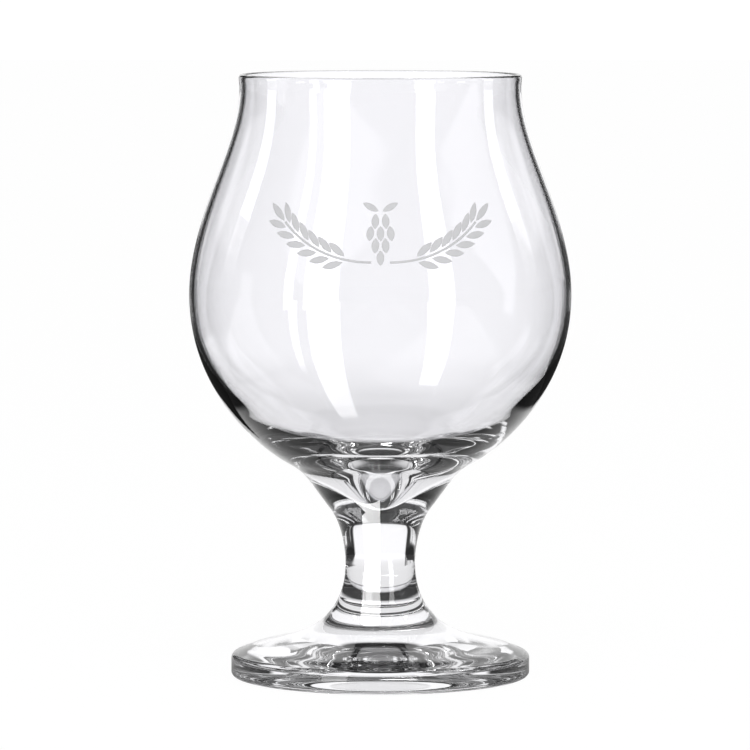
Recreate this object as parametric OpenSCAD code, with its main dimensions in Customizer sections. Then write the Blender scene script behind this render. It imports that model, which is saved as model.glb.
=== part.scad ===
// Footed tulip beer glass: a thin bowl that swells to a round belly and draws in
// to a narrow lip, on a short waisted stem and a wide round foot.
// Millimetres, +Z up. The origin is on the axis, in the plane the foot stands on.
// The fired-on ornament faces -Y.

/* [Bowl] */
// Height of the lip above the table
height = 155.5; // [153:0.5:160]
// Outside diameter of the straight neck just under the lip
neck_d = 72.4; // [69:0.2:76]
// Thickness of the fire-polished lip bead
lip_bead = 1.4; // [1.3:0.1:1.8]
// How far the bead stands out beyond the neck
lip_flare = 0.2; // [0:0.05:0.4]
// Widest outside diameter of the belly
belly_d = 98.5; // [97:0.5:100]
// Height of the widest point of the belly
belly_z = 98.8; // [97.8:0.2:100.2]
// Wall thickness in the neck
neck_wall = 1.4; // [1.2:0.1:1.8]
// Wall thickness at the widest point
belly_wall = 1.2; // [1.0:0.1:1.8]
// Outside diameter where the belly turns in to the stem
tuck_d = 48; // [47:0.5:49]
// Height of that turn
tuck_z = 55.3; // [54.9:0.1:55.7]
// Inside diameter where the wall bends into the floor
corner_d = 73.2; // [72.4:0.2:73.6]
// Height of that bend
corner_z = 69.8; // [69.6:0.2:70.4]
// Inside diameter where the floor bends down into the well in its middle
well_d = 36.4; // [34:0.2:38]
// Height of that bend
well_z = 59; // [58.4:0.2:60]
// Height of the bottom of the well, on the axis
floor_z = 46.8; // [46.2:0.2:50]

/* [Stem] */
// Diameter of the joint between bowl and stem
bowl_joint_d = 26.2; // [25:0.2:28]
// Height of the joint between bowl and stem
bowl_joint_z = 43.5; // [42.5:0.5:44.5]
// Diameter of the waist, the thinnest place of the stem
waist_d = 18.1; // [16:0.1:20]
// Height of the waist
waist_z = 29.2; // [28:0.2:31]
// Diameter of the joint between stem and foot
foot_joint_d = 27; // [26:0.2:29]
// Height of the joint between stem and foot
foot_joint_z = 16; // [15.5:0.5:17]

/* [Foot] */
// Outside diameter of the foot
foot_d = 77.2; // [74:0.2:82]
// Height of the foot where the flare ends
apron_z = 8.2; // [7.8:0.1:8.8]
// Diameter at which the flare ends
apron_d = 61.6; // [58:0.2:63]
// Height of the top corner of the rim of the foot
edge_z = 6.1; // [5.6:0.1:6.6]
// Inner diameter of the flat ring the foot stands on
ring_d = 66; // [60:0.5:70]
// Depth of the hollow under the foot
kick = 1.8; // [1.0:0.1:2.6]

/* [Ornament] */
// Height of the middle of the ornament
ornament_z = 116.6; // [114:0.2:120]
// Thickness of the fired-on layer
ink = 0.08; // [0.06:0.01:0.12]
// Length of one grain of the ears
grain_l = 5.4; // [4.6:0.1:5.6]
// Width of one grain of the ears
grain_w = 1.75; // [1.5:0.05:1.9]

/* [Hidden] */
$fn = 96;

clear_glass = [0.93, 0.95, 0.97, 0.35];
frost_grey = [0.82, 0.82, 0.83];

// Cubic curve from a to d with handles b and c, in n steps
function curve(a, b, c, d, n) =
    [for (i = [0:n]) let (t = i / n, u = 1 - t)
        u*u*u*a + 3*u*u*t*b + 3*u*t*t*c + t*t*t*d];
// Unit vector that leans outward from the vertical by an angle
function lean(a) = [sin(a), cos(a)];
function flip(p) = [for (i = [len(p) - 1:-1:0]) p[i]];
function tail(p) = [for (i = [1:len(p) - 1]) p[i]];

// Stations of the outer profile, [radius, height]
neck_z = height - 3.5;
neck = [neck_d/2, neck_z];
belly = [belly_d/2, belly_z];
tuck = [tuck_d/2, tuck_z];
bowl_joint = [bowl_joint_d/2, bowl_joint_z];
waist = [waist_d/2, waist_z];
foot_joint = [foot_joint_d/2, foot_joint_z];
apron = [apron_d/2, apron_z];
shoulder = neck_z - belly_z;
bead_r = lip_bead/2;
bead = [neck_d/2 + lip_flare - bead_r, height - bead_r];
tuck_lean = 62;
bowl_joint_lean = 37.7;
foot_joint_lean = 42;
apron_fall = 11.4;

// Stations of the inner profile
neck_in = neck - [neck_wall, 0];
belly_in = belly - [belly_wall, 0];
corner = [corner_d/2, corner_z];
corner_lean = 41.8;
well = [well_d/2, well_z];
well_fall = 20.8;
well_dir = [cos(well_fall), sin(well_fall)];

// Outer skin of the bowl, from the neck down to the joint
shoulder_out = curve(neck, neck - [0, 0.278*shoulder],
    belly + [0, 0.372*shoulder], belly, 32);
under_out = curve(belly, belly - [0, 0.602*(belly_z - tuck_z)],
    tuck + 6.5*lean(tuck_lean), tuck, 28);
tuck_out = curve(tuck, tuck - 5.6*lean(tuck_lean),
    bowl_joint + 9*lean(bowl_joint_lean), bowl_joint, 14);

// Inner skin of the bowl, from the neck down to the bottom of the well
shoulder_in = curve(neck_in, neck_in - [0, 0.278*shoulder],
    belly_in + [0, 0.372*shoulder], belly_in, 32);
under_in = curve(belly_in, belly_in - [0, 14.8],
    corner + 7.6*lean(corner_lean), corner, 20);
floor_in = curve(corner, corner - 9.9*lean(corner_lean), well + 7*well_dir, well, 16);
well_in = curve(well, well - 10.7*well_dir, [3.7, floor_z], [0, floor_z], 18);

// Rounded lip, from the outer side over the top to the inner side
lip_out = curve(neck, neck + [0, 1], bead + [bead_r, -1], bead + [bead_r, 0], 5);
lip_top = [for (a = [15:15:165]) bead + bead_r*[cos(a), sin(a)]];
lip_in = curve(bead - [bead_r, 0], bead - [bead_r, 1], neck_in + [0, 1], neck_in, 5);

module bowl()
    color(clear_glass)
    rotate_extrude()
    polygon(concat(
        [[0, bowl_joint_z]],
        flip(tuck_out), tail(flip(under_out)), tail(flip(shoulder_out)),
        tail(lip_out), lip_top, lip_in,
        tail(shoulder_in), tail(under_in), tail(floor_in), tail(well_in)));

module stem()
    color(clear_glass)
    rotate_extrude()
    polygon(concat(
        [[0, foot_joint_z]],
        curve(foot_joint, foot_joint + 3.1*[-sin(foot_joint_lean), cos(foot_joint_lean)],
            waist - [0, 7], waist, 14),
        tail(curve(waist, waist + [0, 5.5],
            bowl_joint - 4*lean(bowl_joint_lean), bowl_joint, 14)),
        [[0, bowl_joint_z]]));

// Rim of the foot: a rounded upper corner, a short upright band, a rounded lower corner
foot_r = foot_d/2;
edge = [foot_r - 1.35, edge_z];
band_top = [foot_r, edge_z - 1.6];
band_low = [foot_r, 1.1];
stand_out = [foot_r - 1.1, 0];
ring_r = ring_d/2;

module foot()
    color(clear_glass)
    rotate_extrude()
    polygon(concat(
        [[0, kick]],
        tail(curve([0, kick], [ring_r*0.45, kick], [ring_r*0.72, 0.05*kick],
            [ring_r, 0], 16)),
        [stand_out],
        tail(curve(stand_out, stand_out + [0.6, 0], band_low - [0, 0.6], band_low, 6)),
        curve(band_top, band_top + [0, 0.9], edge + [0.7, -0.25], edge, 8),
        tail(curve(edge, edge + [-3.0, 0.9],
            apron + 4*[cos(apron_fall), -sin(apron_fall)], apron, 8)),
        tail(curve(apron, apron - 13*[cos(apron_fall), -sin(apron_fall)],
            foot_joint + 2.6*[sin(foot_joint_lean), -cos(foot_joint_lean)],
            foot_joint, 20)),
        [[0, foot_joint_z]]));

// Thin skin that lies on the shoulder of the bowl and carries the ornament
module ornament_skin()
    rotate_extrude()
    polygon(concat(shoulder_out,
        [for (p = flip(shoulder_out)) p + [ink, 0]]));

// Pointed oval of a given length and width, its base at the origin, pointing along +X
module leaf(l, w) {
    r = (l*l + w*w)/(4*w);
    intersection() {
        translate([l/2, r - w/2]) circle(r);
        translate([l/2, w/2 - r]) circle(r);
    }
}

// One ear of grain on a curved stalk that leaves the middle level and bends upward
stalk_r = 33;
stalk_w = 0.55;
stalk_end = 45;
stalk_low = -6.6;
ear_mid = 15;
module ear() {
    translate([1.6 - ear_mid, stalk_low + stalk_r]) {
        intersection() {
            difference() {
                circle(stalk_r + stalk_w/2);
                circle(stalk_r - stalk_w/2);
            }
            polygon([[0, 0], [0, -2*stalk_r],
                2*stalk_r*[sin(stalk_end), -cos(stalk_end)]]);
        }
        for (i = [0:5]) rotate(12 + 6.2*i) translate([0, -stalk_r])
            for (side = [-1, 1]) translate([0, 0.75*side]) rotate(27*side)
                leaf(grain_l, grain_w);
        rotate(stalk_end + 0.6) translate([0, -stalk_r]) leaf(grain_l + 0.6, grain_w);
    }
}

// Hop cone between the two ears: scales in staggered rows, and two small leaves on top
scale_l = 3.8;
scale_w = 1.9;
module hop_cone() {
    for (row = [0:3]) let (n = [2, 3, 2, 1][row])
        for (k = [0:n - 1]) let (s = k - (n - 1)/2)
            translate([2.3*s, 5.4 - 3*row]) rotate(-90 + 8*s)
                leaf(scale_l, scale_w);
    for (side = [-1, 1]) translate([0.5*side, 6]) rotate(90 - 62*side)
        leaf(4.4, 1.6);
}

// Cuts a flat figure out of the skin, facing outward at a turn about the axis
module on_skin(turn)
    intersection() {
        ornament_skin();
        rotate([0, 0, turn]) translate([0, 0, ornament_z]) rotate([90, 0, 0])
            linear_extrude(height = 60) children();
    }

ear_turn = 19;
module ornament()
    color(frost_grey) {
        on_skin(0) hop_cone();
        on_skin(ear_turn) ear();
        on_skin(-ear_turn) mirror([1, 0]) ear();
    }

bowl();
stem();
foot();
ornament();
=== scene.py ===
import math

import bpy
import numpy as np
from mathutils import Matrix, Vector


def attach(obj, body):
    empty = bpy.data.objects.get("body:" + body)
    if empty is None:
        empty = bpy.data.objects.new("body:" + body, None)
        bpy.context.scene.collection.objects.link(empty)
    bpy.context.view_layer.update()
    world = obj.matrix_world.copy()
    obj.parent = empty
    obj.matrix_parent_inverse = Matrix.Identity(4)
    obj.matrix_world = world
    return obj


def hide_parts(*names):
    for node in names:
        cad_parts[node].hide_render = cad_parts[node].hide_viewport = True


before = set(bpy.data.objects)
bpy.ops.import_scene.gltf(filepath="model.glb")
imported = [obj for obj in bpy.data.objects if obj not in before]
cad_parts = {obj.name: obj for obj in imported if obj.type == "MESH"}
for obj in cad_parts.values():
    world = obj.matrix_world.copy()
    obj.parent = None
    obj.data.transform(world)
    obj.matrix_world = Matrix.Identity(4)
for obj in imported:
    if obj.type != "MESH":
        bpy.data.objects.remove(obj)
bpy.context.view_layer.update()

MM = 0.001
scene = bpy.context.scene


# ---------------------------------------------------------------- profile of the glass
# The same stations as the solids, in millimetres as (radius, height), but with fine curves.

def curve(a, b, c, d, n):
    t = np.linspace(0.0, 1.0, n + 1)[:, None]
    u = 1.0 - t
    a, b, c, d = (np.asarray(v, float) for v in (a, b, c, d))
    return u**3 * a + 3 * u * u * t * b + 3 * u * t * t * c + t**3 * d


def lean(deg):
    return np.array([math.sin(math.radians(deg)), math.cos(math.radians(deg))])


HEIGHT = 155.5
NECK = np.array([36.2, HEIGHT - 3.5])
BELLY = np.array([49.25, 98.8])
TUCK = np.array([24.0, 55.3])
BOWL_JOINT = np.array([13.1, 43.5])
WAIST = np.array([9.05, 29.2])
FOOT_JOINT = np.array([13.5, 16.0])
APRON = np.array([30.8, 8.2])
BEAD_R = 0.70
BEAD = np.array([36.2 + 0.2 - BEAD_R, HEIGHT - BEAD_R])
NECK_IN = NECK - [1.4, 0]
BELLY_IN = BELLY - [1.2, 0]
CORNER = np.array([36.6, 69.8])
CORNER_LEAN = 41.8
WELL = np.array([18.2, 59.0])
WELL_FALL = 20.8
TIP_Z = 46.8
SHOULDER = NECK[1] - BELLY[1]
FOOT_R = 38.6
EDGE_Z = 6.1
RING_R = 33.0
KICK = 1.8

shoulder_out = curve(NECK, NECK - [0, 0.278 * SHOULDER], BELLY + [0, 0.372 * SHOULDER], BELLY, 96)
under_out = curve(BELLY, BELLY - [0, 0.602 * (BELLY[1] - TUCK[1])], TUCK + 6.5 * lean(62), TUCK, 90)
tuck_out = curve(TUCK, TUCK - 5.6 * lean(62), BOWL_JOINT + 9 * lean(37.7), BOWL_JOINT, 44)
shoulder_in = curve(NECK_IN, NECK_IN - [0, 0.278 * SHOULDER], BELLY_IN + [0, 0.372 * SHOULDER], BELLY_IN, 80)
under_in = curve(BELLY_IN, BELLY_IN - [0, 14.8], CORNER + 7.6 * lean(CORNER_LEAN), CORNER, 56)
well_dir = np.array([math.cos(math.radians(WELL_FALL)), math.sin(math.radians(WELL_FALL))])
floor_in = np.vstack([curve(CORNER, CORNER - 9.9 * lean(CORNER_LEAN), WELL + 7.0 * well_dir, WELL, 44),
                      curve(WELL, WELL - 10.7 * well_dir, [3.7, TIP_Z], [0, TIP_Z], 52)[1:]])
lip_out = curve(NECK, NECK + [0, 1], BEAD + [BEAD_R, -1], BEAD + [BEAD_R, 0], 10)
lip_top = np.array([BEAD + BEAD_R * np.array([math.cos(math.radians(a)), math.sin(math.radians(a))])
                    for a in range(9, 180, 9)])
lip_in = curve(BEAD - [BEAD_R, 0], BEAD - [BEAD_R, 1], NECK_IN + [0, 1], NECK_IN, 10)

BOWL = np.vstack([[[0, BOWL_JOINT[1]]], tuck_out[::-1], under_out[::-1][1:], shoulder_out[::-1][1:],
                  lip_out[1:], lip_top, lip_in, shoulder_in[1:], under_in[1:], floor_in[1:]])

fj = np.array([-math.sin(math.radians(42)), math.cos(math.radians(42))])
stem_low = curve(FOOT_JOINT, FOOT_JOINT + 3.1 * fj, WAIST - [0, 7], WAIST, 60)
stem_high = curve(WAIST, WAIST + [0, 5.5], BOWL_JOINT - 4 * lean(37.7), BOWL_JOINT, 60)
STEM = np.vstack([[[0, FOOT_JOINT[1]]], stem_low, stem_high[1:], [[0, BOWL_JOINT[1]]]])

edge = np.array([FOOT_R - 1.35, EDGE_Z])
band_top = np.array([FOOT_R, EDGE_Z - 1.6])
band_low = np.array([FOOT_R, 1.1])
stand = np.array([FOOT_R - 1.1, 0.0])
fall = np.array([math.cos(math.radians(11.4)), -math.sin(math.radians(11.4))])
under = curve([0, KICK], [RING_R * 0.45, KICK], [RING_R * 0.72, 0.05 * KICK], [RING_R, 0], 48)
stand_ring = np.array([[RING_R + (stand[0] - RING_R) * i / 6, 0.0] for i in range(1, 7)])
edge_low = curve(stand, stand + [0.6, 0], band_low - [0, 0.6], band_low, 14)
band = np.array([band_low + (band_top - band_low) * i / 8 for i in range(1, 8)])
edge_high = curve(band_top, band_top + [0, 0.9], edge + [0.7, -0.25], edge, 18)
apron_out = curve(edge, edge + [-3.0, 0.9], APRON + 4 * fall, APRON, 24)
flare = curve(APRON, APRON - 13 * fall, FOOT_JOINT - 2.6 * fj, FOOT_JOINT, 72)
FOOT = np.vstack([under, stand_ring, edge_low[1:], band, edge_high, apron_out[1:], flare[1:],
                  [[0, FOOT_JOINT[1]]]])


# ---------------------------------------------------------------- mesh helpers

def add_object(name, verts, faces, mats, face_mat=None):
    me = bpy.data.meshes.new(name)
    me.from_pydata([tuple(v) for v in verts], [], faces)
    for m in mats:
        me.materials.append(m)
    me.polygons.foreach_set("use_smooth", [True] * len(me.polygons))
    if face_mat is not None:
        me.polygons.foreach_set("material_index", face_mat)
    me.update()
    ob = bpy.data.objects.new(name, me)
    scene.collection.objects.link(ob)
    return ob


def revolve(name, prof, seg, mats, joints=()):
    """Closed solid of revolution. The profile starts and ends on the axis.
    joints are the profile steps that are a flat disc of a fused joint: they take the second material."""
    n = len(prof)
    ang = np.linspace(0, 2 * math.pi, seg, endpoint=False)
    cs, sn = np.cos(ang), np.sin(ang)
    verts = [(0.0, 0.0, prof[0][1] * MM)]
    for r, z in prof[1:-1]:
        verts += list(zip(r * MM * cs, r * MM * sn, [z * MM] * seg))
    top = len(verts)
    verts.append((0.0, 0.0, prof[-1][1] * MM))

    def ring(i, j):
        return 1 + (i - 1) * seg + j % seg

    faces, mat = [], []
    for i in range(n - 1):
        for j in range(seg):
            if i == 0:
                f = (0, ring(1, j + 1), ring(1, j))
            elif i == n - 2:
                f = (ring(i, j), ring(i, j + 1), top)
            else:
                f = (ring(i, j), ring(i, j + 1), ring(i + 1, j + 1), ring(i + 1, j))
            faces.append(f)
            mat.append(1 if i in joints else 0)
    ob = add_object(name, verts, faces, mats, mat)
    rims = set()
    for i in joints:
        rims.add(1 if i == 0 else i)
    if rims:
        me = ob.data
        lows = {1 + (i - 1) * seg for i in rims}
        for e in me.edges:
            a, b = e.vertices
            for lo in lows:
                if lo <= a < lo + seg and lo <= b < lo + seg:
                    e.use_edge_sharp = True
    return ob


# ---------------------------------------------------------------- materials

def new_mat(name):
    m = bpy.data.materials.new(name)
    m.use_nodes = True
    m.node_tree.nodes.clear()
    return m, m.node_tree.nodes, m.node_tree.links


def glass_material():
    m, N, L = new_mat("clear_glass")
    out = N.new("ShaderNodeOutputMaterial")
    p = N.new("ShaderNodeBsdfPrincipled")
    p.inputs["Base Color"].default_value = (0.977, 0.975, 0.994, 1)
    p.inputs["IOR"].default_value = 1.52
    p.inputs["Transmission Weight"].default_value = 1.0
    p.inputs["Roughness"].default_value = 0.0
    co = N.new("ShaderNodeTexCoord")
    # slow waves of drawn glass, stretched along the axis, and a faint fire-polish ripple
    mp = N.new("ShaderNodeMapping")
    mp.inputs["Scale"].default_value = (1, 1, 0.45)
    wave = N.new("ShaderNodeTexNoise")
    wave.inputs["Scale"].default_value = 38
    wave.inputs["Detail"].default_value = 1.0
    bump = N.new("ShaderNodeBump")
    bump.inputs["Strength"].default_value = 1.0
    bump.inputs["Distance"].default_value = 0.00004
    L.new(co.outputs["Object"], mp.inputs["Vector"])
    L.new(mp.outputs["Vector"], wave.inputs["Vector"])
    L.new(wave.outputs["Fac"], bump.inputs["Height"])
    L.new(bump.outputs["Normal"], p.inputs["Normal"])
    L.new(p.outputs["BSDF"], out.inputs["Surface"])
    return m


def joint_material():
    m, N, L = new_mat("fused_joint")
    out = N.new("ShaderNodeOutputMaterial")
    t = N.new("ShaderNodeBsdfTransparent")
    L.new(t.outputs["BSDF"], out.inputs["Surface"])
    return m


def frost_material():
    m, N, L = new_mat("fired_frost")
    out = N.new("ShaderNodeOutputMaterial")
    p = N.new("ShaderNodeBsdfPrincipled")
    p.inputs["IOR"].default_value = 1.5
    p.inputs["Specular IOR Level"].default_value = 0.15
    co = N.new("ShaderNodeTexCoord")
    grain = N.new("ShaderNodeTexNoise")
    grain.inputs["Scale"].default_value = 2600
    grain.inputs["Detail"].default_value = 3
    cloud = N.new("ShaderNodeTexNoise")
    cloud.inputs["Scale"].default_value = 180
    cloud.inputs["Detail"].default_value = 2
    mix = N.new("ShaderNodeMath")
    mix.operation = "MULTIPLY_ADD"
    mix.inputs[1].default_value = 0.55
    ramp = N.new("ShaderNodeValToRGB")
    ramp.color_ramp.elements[0].position = 0.30
    ramp.color_ramp.elements[0].color = (0.55, 0.55, 0.565, 1)
    ramp.color_ramp.elements[1].position = 0.75
    ramp.color_ramp.elements[1].color = (0.63, 0.63, 0.645, 1)
    rough = N.new("ShaderNodeMapRange")
    rough.inputs["To Min"].default_value = 0.50
    rough.inputs["To Max"].default_value = 0.72
    bump = N.new("ShaderNodeBump")
    bump.inputs["Strength"].default_value = 0.35
    bump.inputs["Distance"].default_value = 0.00003
    L.new(co.outputs["Object"], grain.inputs["Vector"])
    L.new(co.outputs["Object"], cloud.inputs["Vector"])
    L.new(grain.outputs["Fac"], mix.inputs[0])
    L.new(cloud.outputs["Fac"], mix.inputs[2])
    L.new(mix.outputs[0], ramp.inputs["Fac"])
    L.new(grain.outputs["Fac"], rough.inputs["Value"])
    L.new(ramp.outputs["Color"], p.inputs["Base Color"])
    L.new(rough.outputs["Result"], p.inputs["Roughness"])
    L.new(grain.outputs["Fac"], bump.inputs["Height"])
    L.new(bump.outputs["Normal"], p.inputs["Normal"])
    L.new(p.outputs["BSDF"], out.inputs["Surface"])
    return m


GLASS = glass_material()
JOINT = joint_material()
FROST = frost_material()

# ---------------------------------------------------------------- the three pieces of glass
SEG = 192
bowl = revolve("glass_bowl", BOWL, SEG, [GLASS, JOINT], joints=(0,))
stem = revolve("glass_stem", STEM, SEG, [GLASS, JOINT], joints=(0, len(STEM) - 2))
foot = revolve("glass_foot", FOOT, SEG, [GLASS, JOINT], joints=(len(FOOT) - 2,))
for ob, node in ((bowl, "bowl"), (stem, "stem"), (foot, "foot")):
    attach(ob, "root")
    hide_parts(node)

# ---------------------------------------------------------------- ornament
ORN_Z = 116.6
INK_OUT, INK_IN = 0.06, -0.02
R_TAB = shoulder_out[::-1]


def on_bowl(turn, u, v, off):
    z = ORN_Z + v
    r = np.interp(z, R_TAB[:, 1], R_TAB[:, 0]) + off
    x, y = u, -np.sqrt(np.maximum(r * r - u * u, 0))
    t = math.radians(turn)
    return np.stack([x * math.cos(t) - y * math.sin(t), x * math.sin(t) + y * math.cos(t), z], -1) * MM


def leaf_half(l, w, x):
    r = (l * l + w * w) / (4 * w)
    return np.sqrt(np.maximum(r * r - (x - l / 2) ** 2, 0)) - (r - w / 2)


orn_verts, orn_faces = [], []


def add_patch(uv, turn):
    """Closed thin shell from a grid of flat points, uv[row][col]."""
    uv = np.asarray(uv, float)
    a, b = uv.shape[:2]
    base = len(orn_verts)
    orn_verts.extend(on_bowl(turn, uv[..., 0].ravel(), uv[..., 1].ravel(), INK_OUT).tolist())
    orn_verts.extend(on_bowl(turn, uv[..., 0].ravel(), uv[..., 1].ravel(), INK_IN).tolist())

    def at(i, j, low=0):
        return base + low * a * b + i * b + j

    for i in range(a - 1):
        for j in range(b - 1):
            orn_faces.append((at(i, j), at(i + 1, j), at(i + 1, j + 1), at(i, j + 1)))
            orn_faces.append((at(i, j, 1), at(i, j + 1, 1), at(i + 1, j + 1, 1), at(i + 1, j, 1)))
    rim = ([(i, 0) for i in range(a)] + [(a - 1, j) for j in range(1, b)]
           + [(i, b - 1) for i in range(a - 2, -1, -1)] + [(0, j) for j in range(b - 2, 0, -1)])
    for (i, j), (k, m) in zip(rim, rim[1:] + rim[:1]):
        orn_faces.append((at(i, j), at(i, j, 1), at(k, m, 1), at(k, m)))


def leaf(l, w, angle, origin, turn, flip=1, frame_angle=0.0, frame_origin=(0.0, 0.0)):
    """A pointed oval; its own angle and origin are taken inside an outer turn and shift."""
    s = 0.5 - 0.5 * np.cos(np.linspace(0.06, math.pi - 0.06, 18))
    x = s * l
    h = leaf_half(l, w, x)
    rows = []
    for k in np.linspace(-1, 1, 7):
        rows.append(np.stack([x, k * h], -1))
    p = np.stack(rows, 0).transpose(1, 0, 2)

    def rot(q, deg):
        t = math.radians(deg)
        return np.stack([q[..., 0] * math.cos(t) - q[..., 1] * math.sin(t),
                         q[..., 0] * math.sin(t) + q[..., 1] * math.cos(t)], -1)

    p = rot(p, angle) + np.asarray(origin, float)
    p = rot(p, frame_angle) + np.asarray(frame_origin, float)
    if flip < 0:
        p = p[:, ::-1] * [-1, 1]
    add_patch(p, turn)


for row, n in enumerate((2, 3, 2, 1)):
    for k in range(n):
        s = k - (n - 1) / 2
        leaf(3.8, 1.9, -90 + 8 * s, (2.3 * s, 5.4 - 3 * row), 0)
for side in (-1, 1):
    leaf(4.4, 1.6, 90 - 62 * side, (0.5 * side, 6), 0)

STALK_R, STALK_W, STALK_END, STALK_LOW, EAR_MID = 33.0, 0.55, 45.0, -6.6, 15.0
for flip, turn in ((1, 19.0), (-1, -19.0)):
    origin = (1.6 - EAR_MID, STALK_LOW + STALK_R)
    th = np.radians(np.linspace(0, STALK_END, 48))
    p = np.stack([np.stack([(STALK_R + q * STALK_W / 2) * np.sin(th) + origin[0],
                            -(STALK_R + q * STALK_W / 2) * np.cos(th) + origin[1]], -1)
                  for q in np.linspace(1, -1, 3)], 0).transpose(1, 0, 2)
    if flip < 0:
        p = p[:, ::-1] * [-1, 1]
    add_patch(p, turn)
    for i in range(6):
        a = 12 + 6.2 * i
        for side in (-1, 1):
            leaf(5.4, 1.75, 27 * side, (0, -STALK_R + 0.75 * side), turn, flip, a, origin)
    leaf(6.0, 1.75, 0, (0, -STALK_R), turn, flip, STALK_END + 0.6, origin)

ornament = add_object("fired_ornament", orn_verts, orn_faces, [FROST])
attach(ornament, "root")
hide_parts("ornament")

# ---------------------------------------------------------------- camera
cam_data = bpy.data.cameras.new("camera")
cam_data.sensor_width = 36.0
cam_data.lens = 264.92
cam_data.clip_start, cam_data.clip_end = 0.05, 100
cam = bpy.data.objects.new("camera", cam_data)
scene.collection.objects.link(cam)
cam.location = (-0.00137, -1.420, 0.197)
cam.rotation_euler = (math.radians(90 - 4.795), 0, 0)
scene.camera = cam

# ---------------------------------------------------------------- node helpers

class Tree:
    """Small helper around a node tree: every call adds a node and returns its output."""

    def __init__(self, tree):
        self.N, self.L = tree.nodes, tree.links
        self.N.clear()

    def math(self, op, a, b=None, c=None):
        n = self.N.new("ShaderNodeMath")
        n.operation = op
        for i, v in enumerate((a, b, c)):
            if v is None:
                continue
            if isinstance(v, (int, float)):
                n.inputs[i].default_value = v
            else:
                self.L.new(v, n.inputs[i])
        return n.outputs[0]

    def step(self, v, a, b):
        """0 at a, 1 at b, smooth between and held outside; a > b falls instead of rising."""
        n = self.N.new("ShaderNodeMapRange")
        n.interpolation_type = "SMOOTHSTEP"
        lo, hi = (a, b) if a <= b else (b, a)
        n.inputs["From Min"].default_value, n.inputs["From Max"].default_value = lo, hi
        n.inputs["To Min"].default_value, n.inputs["To Max"].default_value = (0, 1) if a <= b else (1, 0)
        self.L.new(v, n.inputs["Value"])
        return n.outputs["Result"]

    def band(self, v, a, b, soft):
        """1 between a and b, 0 outside."""
        return self.math("MULTIPLY", self.step(v, a - soft, a + soft), self.step(v, b + soft, b - soft))

    def times(self, *v):
        out = v[0]
        for w in v[1:]:
            out = self.math("MULTIPLY", out, w)
        return out

    def most(self, *v):
        out = v[0]
        for w in v[1:]:
            out = self.math("MAXIMUM", out, w)
        return out

    def pick(self, flag, yes, no):
        """yes where flag is 1, no where it is 0."""
        n = self.N.new("ShaderNodeMix")
        n.data_type = "FLOAT"
        for i, v in enumerate((flag, no, yes)):
            if isinstance(v, (int, float)):
                (n.inputs["Factor"], n.inputs["A"], n.inputs["B"])[i].default_value = v
            else:
                self.L.new(v, (n.inputs["Factor"], n.inputs["A"], n.inputs["B"])[i])
        return n.outputs["Result"]


# ---------------------------------------------------------------- floor
# A pale table. Where the glass reflects or refracts it, the floor glows white on a sheet; beside it the floor is
# painted dark in place of flags, with a painted shadow of the foot and painted softbox reflections.
fm, N, L = new_mat("pale_floor")
T = Tree(fm.node_tree)
geo = T.N.new("ShaderNodeNewGeometry")
sep = T.N.new("ShaderNodeSeparateXYZ")
T.L.new(geo.outputs["Position"], sep.inputs[0])
fx = T.math("MULTIPLY", sep.outputs[0], 1000.0)
fy = T.math("MULTIPLY", sep.outputs[1], 1000.0)
fr = T.math("SQRT", T.math("ADD", T.math("MULTIPLY", fx, fx), T.math("MULTIPLY", fy, fy)))
# azimuth from the front, positive to the right
fa = T.math("MULTIPLY", T.math("ARCTAN2", fx, T.math("MULTIPLY", fy, -1.0)), 180 / math.pi)
wide = T.math("SUBTRACT", T.math("ABSOLUTE", fx), T.math("MULTIPLY", fy, 0.68))
behind = T.times(T.step(fy, 115, 190), T.step(wide, 60, 0))
sheet = T.most(T.band(fx, -112, 112, 14), behind)
back_half = T.step(fy, -62, -46)
# two diagonal runs of the sheet and one to the left, for the other sides of the glass
along = T.math("MULTIPLY", T.math("SUBTRACT", fy, fx), math.sqrt(0.5))
across = T.math("MULTIPLY", T.math("ADD", fx, fy), math.sqrt(0.5))
run_left = T.times(T.band(across, -85, 85, 18), T.step(along, 400, 320), T.step(fy, 60, 80))
reach = T.math("MULTIPLY_ADD", along, 0.10, T.math("ABSOLUTE", across))
run_front = T.times(T.step(reach, 95, 62), T.step(along, -50, -75), T.step(along, -1800, -1300))
out_x = T.math("MULTIPLY", fx, -1.0)
reach = T.math("MULTIPLY_ADD", out_x, -0.07, T.math("ABSOLUTE", fy))
run_side = T.times(T.step(reach, 70, 48), T.step(out_x, 105, 125))
through = T.most(T.times(sheet, back_half), run_left, run_front, run_side)
# painted shade: seen through the glass, the sheet is darker near the glass and brighter from 100 to 600 mm out
through = T.math("MULTIPLY_ADD", T.times(through, T.math("MULTIPLY_ADD", T.step(T.most(fy, out_x), 100, 600), 0.24, 0.84)), 1.0, 0.02)
# the foot's own shadow: dark in front and under the stem, light under the back, dark along the edge
through = T.pick(T.times(T.step(fr, 50, 45), T.step(fy, 0, -10)), 0.06, through)
under_foot = T.times(T.step(fr, 17, 21), T.step(fr, 36.5, 34.5), T.math("MULTIPLY_ADD", T.step(fy, 13, 27), 0.40, 0.45))
through = T.pick(T.step(fr, 40, 38.6), T.math("ADD", under_foot, 0.05), through)
through = T.pick(T.band(fr, 39.2, 42.5, 0.5), 0.05, through)
# what the front of the bowl mirrors: the sheet, painted darker toward the front, and painted softbox reflections as
# strips of the floor that glow at 5
def between(k0, c0, k1, c1, soft):
    """Strip of the floor between the lines x = k0 y + c0 and x = k1 y + c1."""
    lo = T.math("SUBTRACT", fx, T.math("MULTIPLY_ADD", fy, k0, c0))
    hi = T.math("SUBTRACT", fx, T.math("MULTIPLY_ADD", fy, k1, c1))
    return T.times(T.step(lo, -soft, soft), T.step(hi, soft, -soft))


# painted reflection: long softboxes drawn as glowing strips of the floor in front of the glass
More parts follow.
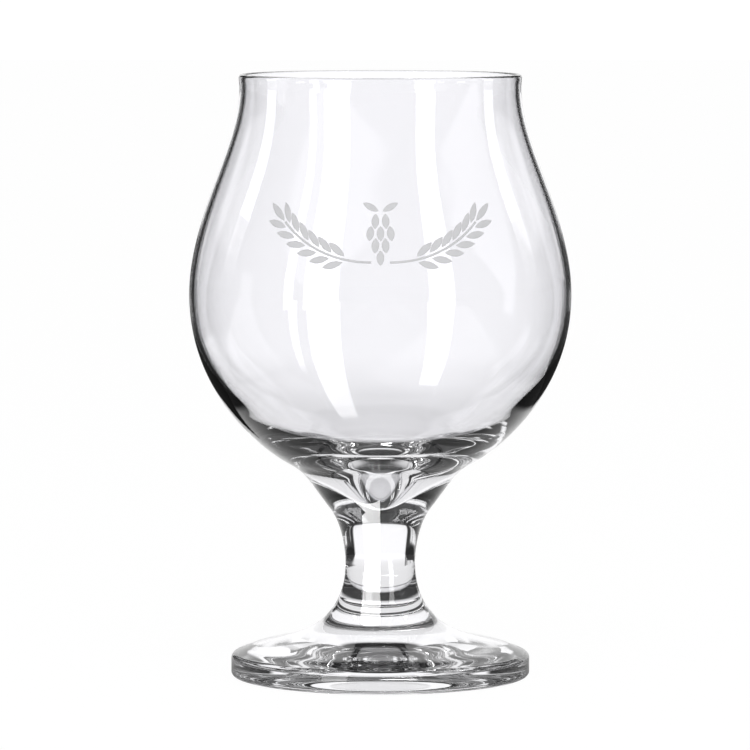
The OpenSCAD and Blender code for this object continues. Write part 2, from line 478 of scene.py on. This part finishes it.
front = T.step(fy, -30, -40)
painted_softbox_streaks = T.most(
    T.times(between(0.975, 18.7, 0.44, 7.0, 1.2), T.step(fr, 57, 66), front),
    T.times(between(1.52, 36.0, 1.22, 22.0, 1.5), T.step(fr, 125, 190), front),
    T.times(between(-0.53, -8.0, -0.983, -22.0, 1.2), T.step(fr, 105, 113), front))
# painted shade: the mirrored sheet is darker toward the front than behind
mirror = T.times(T.band(fx, -112, 112, 6), T.step(fy, -420, -120), T.math("MULTIPLY_ADD", T.step(fy, -40, 160), 0.72, 0.20))
mirror = T.math("MULTIPLY_ADD", mirror, 1.0, 0.02)
# painted reflection: the strips glow at 5 to stand in for mirrored softboxes
mirror = T.pick(painted_softbox_streaks, 5.0, mirror)
ray = T.N.new("ShaderNodeLightPath")
level = T.pick(ray.outputs["Is Transmission Ray"], through, mirror)
level = T.pick(ray.outputs["Is Diffuse Ray"], 0.9, level)
level = T.pick(ray.outputs["Is Camera Ray"], 0.965, level)
emi = T.N.new("ShaderNodeEmission")
T.L.new(level, emi.inputs["Strength"])
dif = T.N.new("ShaderNodeBsdfDiffuse")
dif.inputs["Color"].default_value = (0.05, 0.05, 0.05, 1)
add = T.N.new("ShaderNodeAddShader")
out = T.N.new("ShaderNodeOutputMaterial")
T.L.new(dif.outputs["BSDF"], add.inputs[0])
T.L.new(emi.outputs["Emission"], add.inputs[1])
T.L.new(add.outputs["Shader"], out.inputs["Surface"])
size = 6.0
low = -0.0002
floor = add_object("floor", [(-size, -size, low), (size, -size, low), (size, size, low), (-size, size, low)],
                   [(0, 1, 2, 3)], [fm])

# ---------------------------------------------------------------- studio surround
world = bpy.data.worlds.new("studio")
scene.world = world
world.use_nodes = True
T = Tree(world.node_tree)
co = T.N.new("ShaderNodeTexCoord")
sep = T.N.new("ShaderNodeSeparateXYZ")
T.L.new(co.outputs["Generated"], sep.inputs[0])
# azimuth from the back, positive to the right; elevation; both in degrees
az = T.math("MULTIPLY", T.math("ARCTAN2", sep.outputs[0], sep.outputs[1]), 180 / math.pi)
el = T.math("MULTIPLY", T.math("ARCSINE", sep.outputs[2]), 180 / math.pi)
sector = T.band(az, -34.0, 34.5, 2.0)
side = T.times(T.band(az, -94.5, -85.5, 2.5), T.step(el, 10, 7))
low_sides = T.times(T.band(T.math("ABSOLUTE", az), 43.0, 70.0, 3.0), T.band(el, 10.5, 38.0, 2.5))
seen = T.most(T.times(sector, T.step(el, 38, 30)), side, low_sides)
seen = T.math("MULTIPLY_ADD", seen, 1.07, 0.02)
bounced = T.math("MULTIPLY_ADD", T.times(sector, T.step(el, 50, 42)), 1.0, 0.02)
ray = T.N.new("ShaderNodeLightPath")
seen = T.pick(ray.outputs["Is Transmission Ray"], seen, bounced)
seen = T.pick(ray.outputs["Is Diffuse Ray"], 0.5, seen)
seen = T.pick(ray.outputs["Is Camera Ray"], 1.05, seen)
bg = T.N.new("ShaderNodeBackground")
bg.inputs["Color"].default_value = (1, 1, 1, 1)
T.L.new(seen, bg.inputs["Strength"])
wo = T.N.new("ShaderNodeOutputWorld")
T.L.new(bg.outputs["Background"], wo.inputs["Surface"])

# ---------------------------------------------------------------- lamps

def area(name, place, aim, wide, tall, radiance):
    ld = bpy.data.lights.new(name, "AREA")
    ld.shape = "RECTANGLE"
    ld.size, ld.size_y = wide, tall
    ld.energy = radiance * math.pi * wide * tall
    ob = bpy.data.objects.new(name, ld)
    scene.collection.objects.link(ob)
    ob.location = place
    ob.rotation_mode = "QUATERNION"
    ob.rotation_quaternion = (Vector(aim) - Vector(place)).to_track_quat("-Z", "Y")
    ob.visible_camera = False
    return ob


def strip(name, left, right, low, high, radiance, dist=0.9):
    """Upright lamp that the front of the glass mirrors; angles in degrees from the front."""
    a = math.radians((left + right) / 2)
    z0, z1 = (0.09 + dist * math.tan(math.radians(e)) for e in (low, high))
    wide = 2 * dist * math.tan(math.radians((right - left) / 2))
    place = (dist * math.sin(a), -dist * math.cos(a), (z0 + z1) / 2)
    ob = area(name, place, (0, 0, (z0 + z1) / 2), wide, z1 - z0, radiance)
    ob.visible_diffuse = ob.visible_transmission = False
    return ob


strip("key_left", -45.8, -24.4, -5.2, 40, 5.0, 0.99)
strip("key_left_slit", -58.5, -52.3, -5.2, 40, 5.0, 0.95)
strip("key_right", 28.6, 44.5, -5.2, 40, 5.0, 0.99)

# short lamps beside the neck, fading downward
for side, y0, y1 in ((-1, -18.5, 0.5), (1, -20, -1)):
    for part, z0, z1, radiance in ((1, 148, 300, 4.0), (2, 137, 148, 1.3), (3, 126, 137, 0.9), (4, 115, 126, 0.5), (5, 104, 115, 0.22)):
        mid = (z0 + z1) / 2 * MM
        ob = area("neck_lamp_%s_%d" % ("left" if side < 0 else "right", part), (0.112 * side, (y0 + y1) / 2 * MM, mid),
                  (0, (y0 + y1) / 2 * MM, mid), (y1 - y0) * MM, (z1 - z0) * MM, radiance)
        ob.visible_diffuse = ob.visible_transmission = False

# dark flags just outside the view of the bowl draw its outline
fl, N, L = new_mat("dark_flag")
out = N.new("ShaderNodeOutputMaterial")
emi = N.new("ShaderNodeEmission")
emi.inputs["Color"].default_value = (1, 1, 1, 1)
emi.inputs["Strength"].default_value = 0.03
L.new(emi.outputs["Emission"], out.inputs["Surface"])


def flag(name, x0, x1, y, z0, z1):
    ob = add_object(name, [(x0 * MM, y * MM, z0 * MM), (x1 * MM, y * MM, z0 * MM),
                           (x1 * MM, y * MM, z1 * MM), (x0 * MM, y * MM, z1 * MM)], [(0, 1, 2, 3)], [fl])
    ob.visible_camera = ob.visible_diffuse = ob.visible_shadow = False


def grid(name, x0, y0, x1, y1, z0, z1, deep, gap, turn):
    """Upright louvre: fine dark slats that let light through along one direction only."""
    dx, dy = deep / 2 * math.sin(math.radians(turn)), deep / 2 * math.cos(math.radians(turn))
    verts, faces = [], []
    count = int(math.hypot(x1 - x0, y1 - y0) / gap)
    for i in range(count + 1):
        x, y = x0 + (x1 - x0) * i / count, y0 + (y1 - y0) * i / count
        n = len(verts)
        verts += [((x + a * dx) * MM, (y + a * dy) * MM, z * MM) for a, z in ((-1, z0), (1, z0), (1, z1), (-1, z1))]
        faces.append((n, n + 1, n + 2, n + 3))
    ob = add_object(name, verts, faces, [fl])
    ob.visible_camera = ob.visible_diffuse = ob.visible_shadow = False


grid("flag_left", -128, 115, -70, 115, 8, 200, 0.9, 0.25, -45)
flag("flag_right", 62, 104, 78, 45, 400)

# narrow lamp close to the stem, mirrored as one upright line
stem_lamp = area("stem_lamp", (-0.0055, -0.0155, 0.0255), (-0.0001, 0.0, 0.0255), 0.0115, 0.027, 13.0)
stem_lamp.visible_diffuse = stem_lamp.visible_transmission = False

# broad fill for the fired-on layer and the table
fill = area("fill", (0.0, -0.9, 0.9), (0, 0, 0.1), 1.2, 1.2, 1.6)
fill.visible_glossy = fill.visible_transmission = False

# ---------------------------------------------------------------- render settings for clear glass
c = scene.cycles
c.max_bounces = 32
c.transmission_bounces = 32
c.glossy_bounces = 16
c.transparent_max_bounces = 32
c.use_denoising = True
scene.view_settings.view_transform = "Standard"
scene.view_settings.look = "None"
